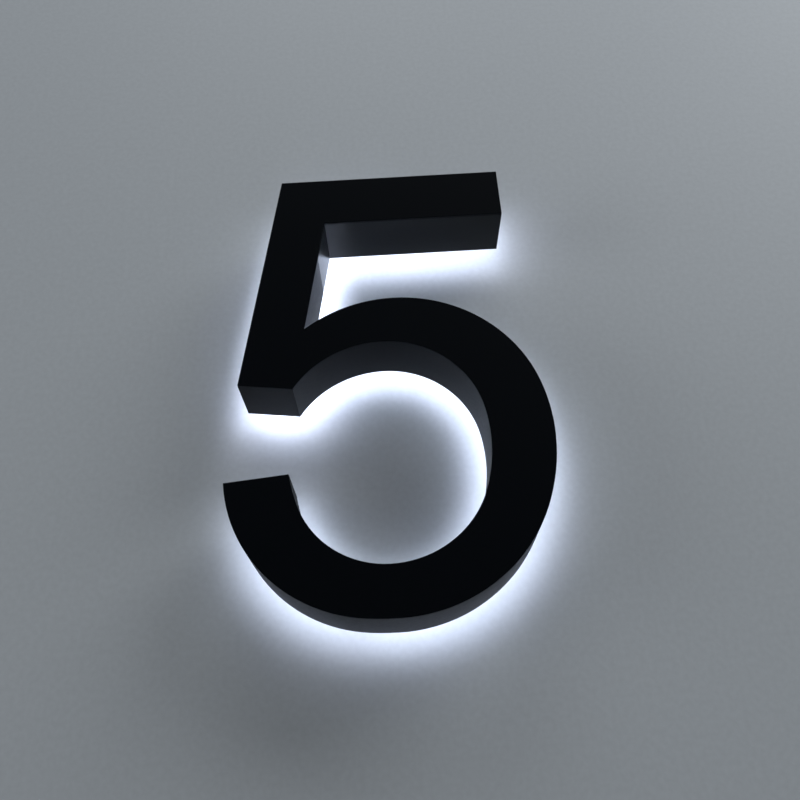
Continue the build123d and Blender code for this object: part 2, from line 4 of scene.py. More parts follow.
import bmesh
import bpy
from mathutils import Quaternion, Vector
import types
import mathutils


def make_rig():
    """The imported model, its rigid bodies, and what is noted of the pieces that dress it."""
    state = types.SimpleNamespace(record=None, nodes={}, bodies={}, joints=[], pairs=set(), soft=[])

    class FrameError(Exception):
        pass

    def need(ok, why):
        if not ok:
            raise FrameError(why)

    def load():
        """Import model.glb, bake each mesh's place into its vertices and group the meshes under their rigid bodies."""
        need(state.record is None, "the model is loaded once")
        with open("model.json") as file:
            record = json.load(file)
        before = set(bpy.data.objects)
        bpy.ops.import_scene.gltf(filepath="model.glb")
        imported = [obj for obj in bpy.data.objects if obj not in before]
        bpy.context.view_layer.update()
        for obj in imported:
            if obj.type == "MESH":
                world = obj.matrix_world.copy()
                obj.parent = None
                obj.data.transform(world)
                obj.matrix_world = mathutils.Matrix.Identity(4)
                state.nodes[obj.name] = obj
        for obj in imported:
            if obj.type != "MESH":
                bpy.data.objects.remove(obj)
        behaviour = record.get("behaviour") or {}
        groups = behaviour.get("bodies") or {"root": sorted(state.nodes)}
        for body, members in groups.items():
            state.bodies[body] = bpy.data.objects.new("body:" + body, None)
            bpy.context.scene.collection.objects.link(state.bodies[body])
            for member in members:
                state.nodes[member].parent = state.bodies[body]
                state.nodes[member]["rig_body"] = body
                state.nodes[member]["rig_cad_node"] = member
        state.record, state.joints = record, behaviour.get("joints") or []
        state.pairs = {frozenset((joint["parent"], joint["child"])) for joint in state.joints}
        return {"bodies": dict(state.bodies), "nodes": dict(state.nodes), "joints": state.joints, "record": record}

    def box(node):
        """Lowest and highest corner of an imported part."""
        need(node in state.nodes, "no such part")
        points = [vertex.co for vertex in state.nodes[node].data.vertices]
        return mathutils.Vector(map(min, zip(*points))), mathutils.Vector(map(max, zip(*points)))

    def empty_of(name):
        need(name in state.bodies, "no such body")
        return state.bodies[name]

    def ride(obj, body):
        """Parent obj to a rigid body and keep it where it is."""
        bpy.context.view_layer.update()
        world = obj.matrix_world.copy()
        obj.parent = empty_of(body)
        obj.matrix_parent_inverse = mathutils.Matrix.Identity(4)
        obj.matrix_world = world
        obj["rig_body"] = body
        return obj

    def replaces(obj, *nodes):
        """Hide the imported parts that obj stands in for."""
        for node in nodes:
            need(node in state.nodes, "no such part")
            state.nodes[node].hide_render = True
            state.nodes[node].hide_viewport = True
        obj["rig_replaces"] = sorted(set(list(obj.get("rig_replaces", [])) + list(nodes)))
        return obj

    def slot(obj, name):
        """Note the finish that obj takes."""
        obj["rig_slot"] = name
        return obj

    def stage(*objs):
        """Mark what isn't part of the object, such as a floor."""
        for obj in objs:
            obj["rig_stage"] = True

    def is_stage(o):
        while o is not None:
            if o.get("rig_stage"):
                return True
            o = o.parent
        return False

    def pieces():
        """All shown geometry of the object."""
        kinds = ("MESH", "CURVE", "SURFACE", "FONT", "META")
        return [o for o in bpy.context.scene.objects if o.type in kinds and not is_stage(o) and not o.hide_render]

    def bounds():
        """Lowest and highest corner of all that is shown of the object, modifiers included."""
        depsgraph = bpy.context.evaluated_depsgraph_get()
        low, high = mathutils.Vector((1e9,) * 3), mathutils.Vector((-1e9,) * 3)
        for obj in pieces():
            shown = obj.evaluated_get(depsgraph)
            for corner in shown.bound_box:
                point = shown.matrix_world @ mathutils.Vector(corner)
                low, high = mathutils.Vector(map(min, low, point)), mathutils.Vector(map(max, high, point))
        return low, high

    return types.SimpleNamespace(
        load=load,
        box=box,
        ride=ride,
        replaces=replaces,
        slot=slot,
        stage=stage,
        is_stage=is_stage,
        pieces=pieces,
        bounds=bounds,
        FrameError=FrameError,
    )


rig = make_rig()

bl_info = {
    "name": "Halo-lit house number",
    "version": (1, 0, 0),
    "blender": (4, 5, 0),
    "location": "View3D > Sidebar > House number",
    "description": "Finishes a halo-lit metal house number and sets it on its stage",
    "category": "Object",
}

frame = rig.load()
nodes = frame["nodes"]
cad_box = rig.bounds()

MM = 0.001
WELD = 0.001 * MM            # corners of the loose triangles that are the same corner
SLIVER = 0.01 * MM           # faces thinner than this are dropped after rounding
FLAT_TURN = radians(1.0)     # less than one facet of the bowl's arcs
SHARP_TURN = radians(35.0)   # more than one facet of a screw or a pillar
WAVE = 2 * pi / 20           # length of one wave in the wave texture at a scale of 1
NOISE_LOW, NOISE_HIGH = 0.3, 0.7   # most of a noise's values lie between these

# Rounding of the finished pieces' edges.
PANEL_ROUND = 0.3 * MM
HOUSING_ROUND = 0.3 * MM
WINDOW_ROUND = 0.2 * MM
BOARD_ROUND = 0.1 * MM
LEAD_ROUND = 0.3 * MM
BLOCK_ROUND = 0.5 * MM
GROMMET_ROUND = 0.4 * MM
PILLAR_ROUND = 0.4 * MM
NUT_ROUND = 0.5 * MM
SMALL_ROUND = 0.15 * MM      # washers, screws, clamps and pads

DISC_CORNERS = 12            # only a screw's flat ends have more corners than this
RING = 0.01 * MM             # points of a thread closer than this in height are on one ring
OFF_WALL = 0.05 * MM         # a round wall's corners stray less than this from its radius
LEAST_THREAD = 2.0 * MM      # shorter round walls are bevels, not threads

# Where the modules' light begins and ends on each stretch of the stroke. The bar's reaches past
# its right end, for the wide halo there.
BAR_LIGHT = (Vector((80.5, 111.8)) * MM, Vector((-37.0, 111.8)) * MM)
STEM_LIGHT = (Vector((-44.9, 95.5)) * MM, Vector((-62.4, -3.6)) * MM)
BOWL_LIGHT = (Vector((-43.5, 16.5)) * MM, Vector((-66.2, -57.5)) * MM)
STRAIGHT_STRIPS = 3          # strips of light on the bar, and on the stem
STRAIGHT_MODULES = 5         # the bar's and the stem's modules are numbered before the bowl's

# The room, in metres: each soft lamp faces the number.
RIGHT_LAMP = (1.15, 1.15, 0.77)
LEFT_LAMP = (-1.9, -0.1, 0.9)
TOP_LAMP = (0.0, 1.9, 0.9)
LAMP_SIZE = 1.1
LAMP_COLOUR = "#f1f4f8"
ROOM_COLOUR = "#ebeef2"
FLOOR_SIDES = 96
SENSOR_WIDTH = 36.0          # millimetres, as the camera takes it


def linear(hex_colour):
    """An sRGB hex colour as the linear colour that a shader takes."""
    parts = [int(hex_colour[i:i + 2], 16) / 255 for i in (1, 3, 5)]
    return [c / 12.92 if c <= 0.04045 else ((c + 0.055) / 1.055) ** 2.4 for c in parts]


def every(size_mm):
    """Scale of a pattern whose features are this many millimetres apart."""
    return 1 / (size_mm * MM)


# --- Sizes and colours that a user would change -----------------------------------------------
class ShellSettings(bpy.types.PropertyGroup):
    face_colour: bpy.props.FloatVectorProperty(
        name="Face colour",
        description="Powder coat on the face",
        subtype="COLOR",
        default=linear("#060a0f"),
        min=0,
        max=1,
    )
    # Painted light: the sides share the face's powder coat, painted a little lighter for the glow that the lit wall
    # throws up on them.
    side_colour_painted_lighter: bpy.props.FloatVectorProperty(
        name="Return colour",
        description="Powder coat on the folded sides",
        subtype="COLOR",
        default=linear("#0c1115"),
        min=0,
        max=1,
    )
    edge_radius: bpy.props.FloatProperty(
        name="Edge radius",
        description="Rounding that the coat leaves on the face's edges",
        unit="LENGTH",
        default=0.35 * MM,
        min=0,
    )
    orange_peel: bpy.props.FloatProperty(
        name="Orange peel",
        description="Spacing of the coat's waves",
        unit="LENGTH",
        default=1.6 * MM,
        min=0.1 * MM,
    )


class LightSettings(bpy.types.PropertyGroup):
    light_colour: bpy.props.FloatVectorProperty(
        name="Light colour",
        description="Cool white that the back panel gives",
        subtype="COLOR",
        default=linear("#e6edff"),
        min=0,
        max=1,
    )
    glow_colour: bpy.props.FloatVectorProperty(
        name="Glow colour",
        description="Tint that the modules' light leaves on the wall",
        subtype="COLOR",
        default=linear("#e5e8ff"),
        min=0,
        max=1,
    )
    panel_strength: bpy.props.FloatProperty(
        name="Panel strength",
        description="How brightly the opal back panel glows",
        default=1.9,
        min=0,
    )
    glow_power: bpy.props.FloatProperty(
        name="Glow",
        description="Watts for each square metre of the strips of light in the shell",
        default=17.5,
        min=0,
    )
    stem_share: bpy.props.FloatProperty(
        name="Stem share",
        description="How brightly the stem's modules light the wall, against the bar's",
        default=2.7,
        min=0,
    )
    bowl_share: bpy.props.FloatProperty(
        name="Bowl share",
        description="How brightly the bowl's modules light the wall, against the bar's",
        default=0.76,
        min=0,
    )
    glow_width: bpy.props.FloatProperty(
        name="Glow width",
        description="Width of the strips of light, along the middle of the stroke",
        unit="LENGTH",
        default=14.0 * MM,
        min=1.0 * MM,
    )
    glow_height: bpy.props.FloatProperty(
        name="Glow height",
        description="Height of the strips above the wall: the sides cut their light off",
        unit="LENGTH",
        default=28.0 * MM,
        min=16.0 * MM,
    )
    module_strength: bpy.props.FloatProperty(
        name="Module strength",
        description="How brightly the windows of the LED modules glow",
        default=6.0,
        min=0,
    )


class ScrewSettings(bpy.types.PropertyGroup):
    socket_flats: bpy.props.FloatProperty(
        name="Socket size",
        description="Hex socket of the side screws, across its flats",
        unit="LENGTH",
        default=2.0 * MM,
        min=0,
    )
    socket_depth: bpy.props.FloatProperty(
        name="Socket depth",
        description="Depth of the side screws' hex socket",
        unit="LENGTH",
        default=1.2 * MM,
        min=0,
    )
    thread_size: bpy.props.FloatProperty(
        name="Thread",
        description="Outer size of the pillars' threads, M4",
        unit="LENGTH",
        default=4.0 * MM,
        min=0,
    )
    tapped_size: bpy.props.FloatProperty(
        name="Tapping size",
        description="Size drilled for the tapped hole in each pillar's foot",
        unit="LENGTH",
        default=3.3 * MM,
        min=0,
    )
    thread_pitch: bpy.props.FloatProperty(
        name="Pitch",
        description="Spacing of the thread's crests",
        unit="LENGTH",
        default=0.7 * MM,
        min=0.1 * MM,
    )
    thread_depth: bpy.props.FloatProperty(
        name="Thread depth",
        description="Height of a crest over the roots beside it",
        unit="LENGTH",
        default=0.3 * MM,
        min=0,
    )


class StageSettings(bpy.types.PropertyGroup):
    floor_colour: bpy.props.FloatVectorProperty(
        name="Floor colour",
        description="Pale painted board under the number",
        subtype="COLOR",
        default=linear("#c6ccd0"),
        min=0,
        max=1,
    )
    floor_size: bpy.props.FloatProperty(
        name="Floor size",
        description="Radius of the round floor",
        unit="LENGTH",
        default=6.0,
        min=0.5,
    )
    room_strength: bpy.props.FloatProperty(
        name="Room light",
        description="Even light from all round",
        default=0.2,
        min=0,
    )
    right_light_power: bpy.props.FloatProperty(
        name="Right light",
        description="Power of the soft light beyond the top right",
        subtype="POWER",
        default=11.0,
        min=0,
    )
    left_light_power: bpy.props.FloatProperty(
        name="Left light",
        description="Power of the soft light to the left",
        subtype="POWER",
        default=6.0,
        min=0,
    )
    top_light_power: bpy.props.FloatProperty(
        name="Top light",
        description="Power of the soft light straight beyond the top",
        subtype="POWER",
        default=7.0,
        min=0,
    )
    camera_from: bpy.props.FloatVectorProperty(
        name="Camera position",
        description="Where the photograph was taken from",
        subtype="TRANSLATION",
        unit="LENGTH",
        default=(0.23 * MM, -206.29 * MM, 436.78 * MM),
    )
    camera_at: bpy.props.FloatVectorProperty(
        name="Camera aim",
        description="Point of the face at the middle of the photograph",
        subtype="TRANSLATION",
        unit="LENGTH",
        default=(6.12 * MM, -17.58 * MM, 49.0 * MM),
    )
    camera_roll: bpy.props.FloatProperty(
        name="Camera roll",
        description="Turn of the camera about its line of sight",
        subtype="ANGLE",
        default=radians(-1.77),
    )
    camera_lens: bpy.props.FloatProperty(
        name="Lens",
        description="Focal length on a sensor 36 mm wide",
        unit="CAMERA",
        default=38.19,
        min=1,
    )


# --- Finishes ---------------------------------------------------------------------------------
def add_node(tree, kind, settings=None, inputs=None):
    """Add a node with its settings; an input is a value or the socket that feeds it."""
    node = tree.nodes.new(kind)
    for name, value in (settings or {}).items():
        setattr(node, name, value)
    for name, value in (inputs or {}).items():
        if isinstance(value, bpy.types.NodeSocket):
            tree.links.new(value, node.inputs[name])
        else:
            node.inputs[name].default_value = value
    return node


def new_finish(name, colour, **values):
    """A material of one shader with these values; gives the material, its tree and the shader."""
    material = bpy.data.materials.new(name)
    material.use_nodes = True
    tree = material.node_tree
    shader = tree.nodes["Principled BSDF"]
    shader.inputs["Base Color"].default_value = (*colour, 1)
    for socket, value in values.items():
        shader.inputs[socket.replace("_", " ")].default_value = value
    return material, tree, shader


def relief(tree, shader, spacing_mm, depth_mm, detail=2.0):
    """Raise a fine random relief over the surface, and give its noise for other uses."""
    place = add_node(tree, "ShaderNodeTexCoord")
    noise = add_node(
        tree,
        "ShaderNodeTexNoise",
        inputs={
            "Vector": place.outputs["Object"],
            "Scale": every(spacing_mm),
            "Detail": detail,
        },
    )
    bump = add_node(
        tree,
        "ShaderNodeBump",
        inputs={"Height": noise.outputs["Fac"], "Distance": depth_mm * MM, "Strength": 1.0},
    )
    tree.links.new(bump.outputs["Normal"], shader.inputs["Normal"])
    return noise


def vary(tree, source, socket, low, high):
    """Let a noise move a number socket between two values."""
    span = add_node(
        tree,
        "ShaderNodeMapRange",
        inputs={
            "Value": source.outputs["Fac"],
            "From Min": NOISE_LOW,
            "From Max": NOISE_HIGH,
            "To Min": low,
            "To Max": high,
        },
    )
    tree.links.new(span.outputs["Result"], socket)


def tint(tree, source, socket, dark, light):
    """Let a noise move a colour socket between two colours."""
    ramp = add_node(tree, "ShaderNodeValToRGB", inputs={"Fac": source.outputs["Fac"]})
    ends = ramp.color_ramp.elements
    ends[0].position, ends[0].color = NOISE_LOW, (*dark, 1)
    ends[1].position, ends[1].color = NOISE_HIGH, (*light, 1)
    tree.links.new(ramp.outputs["Color"], socket)


def shade(colour, share):
    """The same colour, lighter or darker by a share."""
    return [min(1.0, c * share) for c in colour]


def powder_coat(name, colour, peel_mm, roughness, specular):
    # Matt polyester powder, sprayed and baked: a low orange peel and a soft, broad sheen.
    material, tree, shader = new_finish(name, colour, Roughness=roughness, IOR=1.5)
    shader.inputs["Specular IOR Level"].default_value = specular
    peel = relief(tree, shader, spacing_mm=peel_mm, depth_mm=0.004)
    vary(tree, peel, shader.inputs["Roughness"], low=0.95 * roughness, high=1.05 * roughness)
    tint(
        tree,
        peel,
        shader.inputs["Base Color"],
        dark=shade(colour, 0.92),
        light=shade(colour, 1.08),
    )
    return material


def opal_acrylic(colour, strength):
    # Cast opal acrylic sheet: milky white, lit almost evenly, with the casting's slow waves.
    milk = linear("#f2f5f8")
    material, tree, shader = new_finish("opal_acrylic", milk, Roughness=0.35, IOR=1.49)
    shader.inputs["Subsurface Weight"].default_value = 0.2
    shader.inputs["Subsurface Radius"].default_value = (3 * MM, 3 * MM, 3.5 * MM)
    shader.inputs["Emission Color"].default_value = (*colour, 1)
    waves = relief(tree, shader, spacing_mm=30.0, depth_mm=0.01, detail=0.0)
    glow = shader.inputs["Emission Strength"]
    vary(tree, waves, glow, low=0.94 * strength, high=1.06 * strength)
    return material


def moulded_abs():
    # White injection-moulded ABS: a spark-eroded grain with a little shine on its high spots,
    # drawn coarser than it is so that it shows.
    white = linear("#e6e8ea")
    material, tree, shader = new_finish("moulded_abs", white, Roughness=0.5, IOR=1.54)
    grain = relief(tree, shader, spacing_mm=0.5, depth_mm=0.01)
    vary(tree, grain, shader.inputs["Roughness"], low=0.42, high=0.58)
    return material


def clear_acrylic(colour, strength):
    # Moulded clear acrylic with faint flow marks, and the light of the package behind it.
    clear = linear("#f6faff")
    material, tree, shader = new_finish("clear_acrylic", clear, Roughness=0.08, IOR=1.49)
    shader.inputs["Transmission Weight"].default_value = 0.85
    shader.inputs["Emission Color"].default_value = (*colour, 1)
    flow = relief(tree, shader, spacing_mm=4.0, depth_mm=0.01)
    glow = shader.inputs["Emission Strength"]
    vary(tree, flow, glow, low=0.8 * strength, high=1.2 * strength)
    return material


def solder_mask():
    # White solder mask on an aluminium board: slightly glossy, with faint copper under it.
    white = linear("#eef0ea")
    material, tree, shader = new_finish("solder_mask", white, Roughness=0.3, IOR=1.5)
    copper = relief(tree, shader, spacing_mm=2.5, depth_mm=0.02)
    mask = shader.inputs["Base Color"]
    tint(tree, copper, mask, dark=linear("#dfe4da"), light=linear("#f3f4f0"))
    return material


def led_phosphor(colour, strength):
    # Phosphor gel in the package, a little grainy: yellow when dark, cool white when lit.
    yellow = linear("#ead04a")
    material, tree, shader = new_finish("led_phosphor", yellow, Roughness=0.25, IOR=1.52)
    shader.inputs["Emission Color"].default_value = (*colour, 1)
    gel = relief(tree, shader, spacing_mm=0.6, depth_mm=0.01)
    glow = shader.inputs["Emission Strength"]
    vary(tree, gel, glow, low=0.9 * strength, high=1.1 * strength)
    return material


def foam_tape():
    # Grey closed-cell acrylic foam tape: dead matt, with pinholes along its cut sides.
    grey = linear("#5a5d60")
    material, tree, shader = new_finish("foam_tape", grey, Roughness=0.9, IOR=1.48)
    cells = relief(tree, shader, spacing_mm=0.4, depth_mm=0.05, detail=4.0)
    foam = shader.inputs["Base Color"]
    tint(tree, cells, foam, dark=linear("#484b4e"), light=linear("#6b6e71"))
    return material


def turned_steel():
    # Stainless steel bar, turned: rings round its upright axis, drawn further apart than a
    # cutter leaves them so that they show.
    steel = linear("#b9bcbf")
    material, tree, shader = new_finish("turned_steel", steel, Metallic=1.0, Roughness=0.3)
    place = add_node(tree, "ShaderNodeTexCoord")
    rings = add_node(
        tree,
        "ShaderNodeTexWave",
        settings={"wave_type": "BANDS", "bands_direction": "Z"},
        inputs={
            "Vector": place.outputs["Object"],
            "Scale": WAVE * every(0.5),
            "Distortion": 0.6,
            "Detail": 2.0,
        },
    )
    bump = add_node(
        tree,
        "ShaderNodeBump",
        inputs={"Height": rings.outputs["Fac"], "Distance": 0.003 * MM, "Strength": 1.0},
    )
    tree.links.new(bump.outputs["Normal"], shader.inputs["Normal"])
    vary(tree, rings, shader.inputs["Roughness"], low=0.24, high=0.38)
    return material


def black_oxide():
    # Stainless screws blackened in a hot bath: dark metal with a thin oily sheen.
    black = linear("#2a2b2d")
    material, tree, shader = new_finish("black_oxide", black, Metallic=1.0, Roughness=0.42)
    skin = relief(tree, shader, spacing_mm=0.4, depth_mm=0.01)
    vary(tree, skin, shader.inputs["Roughness"], low=0.34, high=0.5)
    return material


def bright_brass():
    # Free-cutting brass bar, drilled: warm yellow, lightly scratched by the cutter.
    brass = linear("#cda75a")
    material, tree, shader = new_finish("bright_brass", brass, Metallic=1.0, Roughness=0.28)
    scratches = relief(tree, shader, spacing_mm=0.3, depth_mm=0.01, detail=5.0)
    vary(tree, scratches, shader.inputs["Roughness"], low=0.2, high=0.36)
    return material


def natural_nylon():
    # Natural nylon terminal block: waxy, off-white, slightly see-through at thin walls.
    cream = linear("#e4e1d2")
    material, tree, shader = new_finish("natural_nylon", cream, Roughness=0.45, IOR=1.53)
    shader.inputs["Subsurface Weight"].default_value = 0.25
    shader.inputs["Subsurface Radius"].default_value = (2 * MM, 1.8 * MM, 1.2 * MM)
    wax = relief(tree, shader, spacing_mm=1.2, depth_mm=0.01)
    vary(tree, wax, shader.inputs["Roughness"], low=0.38, high=0.52)
    return material


def moulded_rubber():
    # Black EPDM grommet: matt, with a grey bloom in patches.
    black = linear("#1b1b1c")
    material, tree, shader = new_finish("moulded_rubber", black, Roughness=0.7, IOR=1.52)
    bloom = relief(tree, shader, spacing_mm=1.0, depth_mm=0.02, detail=3.0)
    rubber = shader.inputs["Base Color"]
    tint(tree, bloom, rubber, dark=linear("#171718"), light=linear("#262627"))
    return material


def pvc_sheath():
    # Extruded white PVC over two cores: soft shine, with faint waves.
    white = linear("#d9dadb")
    material, tree, shader = new_finish("pvc_sheath", white, Roughness=0.4, IOR=1.53)
    waves = relief(tree, shader, spacing_mm=2.0, depth_mm=0.02)
    vary(tree, waves, shader.inputs["Roughness"], low=0.34, high=0.46)
    return material


def painted_board(colour):
    # Pale painted board: even matt emulsion, with the roller's stipple.
    material, tree, shader = new_finish("painted_board", colour, Roughness=0.55, IOR=1.45)
    stipple = relief(tree, shader, spacing_mm=3.0, depth_mm=0.02)
    paint = shader.inputs["Base Color"]
    tint(tree, stipple, paint, dark=shade(colour, 0.97), light=shade(colour, 1.03))
    return material


# --- Meshes -----------------------------------------------------------------------------------
def merged_mesh(node_name):
    """A node's loose triangles as one closed mesh with its flat faces whole."""
    mesh = bmesh.new()
    mesh.from_mesh(nodes[node_name].data)
    bmesh.ops.remove_doubles(mesh, verts=mesh.verts, dist=WELD)
    bmesh.ops.dissolve_limit(
        mesh, angle_limit=FLAT_TURN, verts=mesh.verts, edges=mesh.edges
    )
    return mesh


def round_edges(mesh, radius, edges=None):
    """Round these edges, or else every sharp one."""
    if edges is None:
        edges = [edge for edge in mesh.edges if edge.calc_face_angle(0) > SHARP_TURN]
    bmesh.ops.bevel(
        mesh,
        geom=edges,
        offset=radius,
        offset_type="OFFSET",
        segments=2,
        profile=0.5,
        affect="EDGES",
        material=-1,
        clamp_overlap=True,
    )
    bmesh.ops.remove_doubles(mesh, verts=mesh.verts, dist=WELD)
    bmesh.ops.dissolve_degenerate(mesh, edges=mesh.edges, dist=SLIVER)


def free_edges(mesh, joint_height):
    """The sharp edges that aren't in the joint between the face and the returns."""
    free = []
    for edge in mesh.edges:
        in_joint = all(abs(vert.co.z - joint_height) < WELD for vert in edge.verts)
        if edge.calc_face_angle(0) > SHARP_TURN and not in_joint:
            free.append(edge)
    return free


def add_piece(mesh, name, materials, replaced, slot_name):
    """Make the mesh an object that rides with the sign and stands for a CAD node."""
    for face in mesh.faces:
        face.smooth = True
    for edge in mesh.edges:
        edge.smooth = edge.calc_face_angle(0) < SHARP_TURN
    data = bpy.data.meshes.new(name)
    mesh.to_mesh(data)
    mesh.free()
    for material in materials:
        data.materials.append(material)
    piece = bpy.data.objects.new(name, data)
    bpy.context.scene.collection.objects.link(piece)
    even = piece.modifiers.new("flat_faces_stay_flat", "WEIGHTED_NORMAL")
    even.keep_sharp = True
    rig.ride(piece, "root")
    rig.replaces(piece, replaced)
    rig.slot(piece, slot_name)
    return piece


def soften(node_name, name, material, slot_name, radius):
    """Stand for a CAD node with a copy whose sharp edges are rounded."""
    mesh = merged_mesh(node_name)
    round_edges(mesh, radius)
    return add_piece(mesh, name, [material], node_name, slot_name)


def named(start):
    """The CAD nodes whose names start so."""
    return sorted(name for name in nodes if name.startswith(start))


def middle_of(node_name):
    """The middle of a CAD node's box."""
    return sum(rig.box(node_name), Vector()) / 2


def halfway(start, end, beyond):
    """The point halfway from start to end on the parabola through all three."""
    return (3 * start + 6 * end - beyond) / 8


def coated(return_name):
    """The name of the finished piece that stands for one strip of the return."""
    return return_name.replace("return", "coated_return")


# --- Operators --------------------------------------------------------------------------------
class HOUSENUMBER_OT_face(bpy.types.Operator):
    """Coat the face plate and round its edges"""
    bl_idname = "house_number.face"
    bl_label = "Face plate"

    def execute(self, context):
        shell = context.scene.number_shell
        peel_mm = shell.orange_peel / MM
        matt_coat = powder_coat(
            "matt_powder_coat", shell.face_colour, peel_mm, roughness=0.6, specular=0.04
        )
        satin_coat = powder_coat(
            "satin_powder_coat", shell.side_colour_painted_lighter, peel_mm, roughness=0.46, specular=0.08
        )
        mesh = merged_mesh("face_plate")
        joint_height = min(vert.co.z for vert in mesh.verts)
        round_edges(mesh, shell.edge_radius, free_edges(mesh, joint_height))
        # Faces that look up take the face's coat. The plate's edges take the sides' coat, painted a little lighter for
        # the glow from the lit wall.
        for face in mesh.faces:
            face.material_index = 0 if face.normal.z > 0.5 else 1
        add_piece(mesh, "coated_face", [matt_coat, satin_coat], "face_plate", "black_paint")
        return {"FINISHED"}


class HOUSENUMBER_OT_returns(bpy.types.Operator):
    """Coat the three folded strips of the return"""
    bl_idname = "house_number.returns"
    bl_label = "Returns"

    def execute(self, context):
        shell = context.scene.number_shell
        satin_coat = bpy.data.materials["satin_powder_coat"]
        peel_mm = shell.orange_peel / MM
        glossy_coat = powder_coat(
            "glossy_powder_coat", shell.side_colour_painted_lighter, peel_mm, roughness=0.3, specular=0.19
        )
        for name in named("return_"):
            mesh = merged_mesh(name)
            joint_height = max(vert.co.z for vert in mesh.verts)
            round_edges(mesh, shell.edge_radius, free_edges(mesh, joint_height))
            # Every strip takes the sides' colour, painted a little lighter than the face for the glow from the lit
            # wall.
            coat = glossy_coat if "stem" in name else satin_coat
            add_piece(mesh, coated(name), [coat], name, "black_paint")
        return {"FINISHED"}


class HOUSENUMBER_OT_panel(bpy.types.Operator):
    """Light the opal back panel and hang the strips of the modules' light"""
    bl_idname = "house_number.panel"
    bl_label = "Back panel"

    def execute(self, context):
        light = context.scene.number_light
        opal = opal_acrylic(light.light_colour, light.panel_strength)
        soften("back_panel", "opal_panel", opal, "opal_acrylic", PANEL_ROUND)
        # Only the shell shades the strips, because the panel lets their light through.
        shell = bpy.data.collections.new("shell")
        for name in ("coated_face", *(coated(name) for name in named("return_"))):
            shell.objects.link(bpy.data.objects[name])
        self.hang_line(light, self.straight_line(*BAR_LIGHT), 1.0, shell)
        self.hang_line(light, self.straight_line(*STEM_LIGHT), light.stem_share, shell)
        self.hang_line(light, self.bowl_line(), light.bowl_share, shell)
        return {"FINISHED"}

    def straight_line(self, start, end):
        """Points at equal steps from start to end."""
        return [start.lerp(end, i / STRAIGHT_STRIPS) for i in range(STRAIGHT_STRIPS + 1)]

    def bowl_line(self):
        """Points along the bowl's stroke, at each module and halfway to the next."""
        modules = [middle_of(name).xy for name in named("led_module_")[STRAIGHT_MODULES:]]
        first, last = BOWL_LIGHT
        line = [first]
        for here, there, beyond in zip(modules, modules[1:], modules[2:]):
            line += [here, halfway(here, there, beyond)]
        third, second, final = modules[-3:]
        line += [second, halfway(final, second, third), final, last]
        return line

    def hang_line(self, light, line, share, shell):
        """Strips of the modules' light from point to point of a line."""
        for start, end in zip(line, line[1:]):
            self.hang_strip(light, share, shell, start, end)

    def hang_strip(self, light, share, shell, start, end):
        """One strip of light between two points."""
        run = end - start
        data = bpy.data.lights.new("glow", "AREA")
        data.shape = "RECTANGLE"
        data.size = run.length
        data.size_y = light.glow_width
        data.energy = share * light.glow_power * run.length * light.glow_width
        data.color = light.glow_colour
        data.cycles.use_multiple_importance_sampling = False
        strip = bpy.data.objects.new("glow", data)
        middle = (start + end) / 2
        strip.location = (middle.x, middle.y, light.glow_height)
        strip.rotation_euler = (0, 0, atan2(run.y, run.x))
        strip.light_linking.blocker_collection = shell
        bpy.context.scene.collection.objects.link(strip)


class HOUSENUMBER_OT_side_screws(bpy.types.Operator):
    """Cut hex sockets in the side screws and blacken them"""
    bl_idname = "house_number.side_screws"
    bl_label = "Side screws"

    def execute(self, context):
        screws = context.scene.number_screws
        mesh = merged_mesh("side_screws")
        discs = [face for face in mesh.faces if len(face.verts) > DISC_CORNERS]
        widest = max(disc.calc_area() for disc in discs)
        for head in [disc for disc in discs if disc.calc_area() > 0.9 * widest]:
            self.cut_socket(mesh, head, screws.socket_flats / 2, screws.socket_depth)
        add_piece(mesh, "socket_screws", [black_oxide()], "side_screws", "stainless_steel")
        return {"FINISHED"}

    def cut_socket(self, mesh, head, half_flats, depth):
        """Inset a head's disc, draw the inset into a hexagon and sink it."""
        middle = head.calc_center_median()
        head_radius = (head.verts[0].co - middle).length
        bmesh.ops.inset_individual(mesh, faces=[head], thickness=head_radius - half_flats)
        across = (head.verts[0].co - middle).normalized()
        beside = head.normal.cross(across)
        for vert in head.verts:
            arm = vert.co - middle
            turn = atan2(arm.dot(beside), arm.dot(across))
            off_flat = (turn + pi / 6) % (pi / 3) - pi / 6
            vert.co = middle + arm.normalized() * half_flats / cos(off_flat)
        sunk = bmesh.ops.extrude_discrete_faces(mesh, faces=[head])["faces"][0]
        bmesh.ops.translate(mesh, verts=sunk.verts, vec=-sunk.normal * depth)


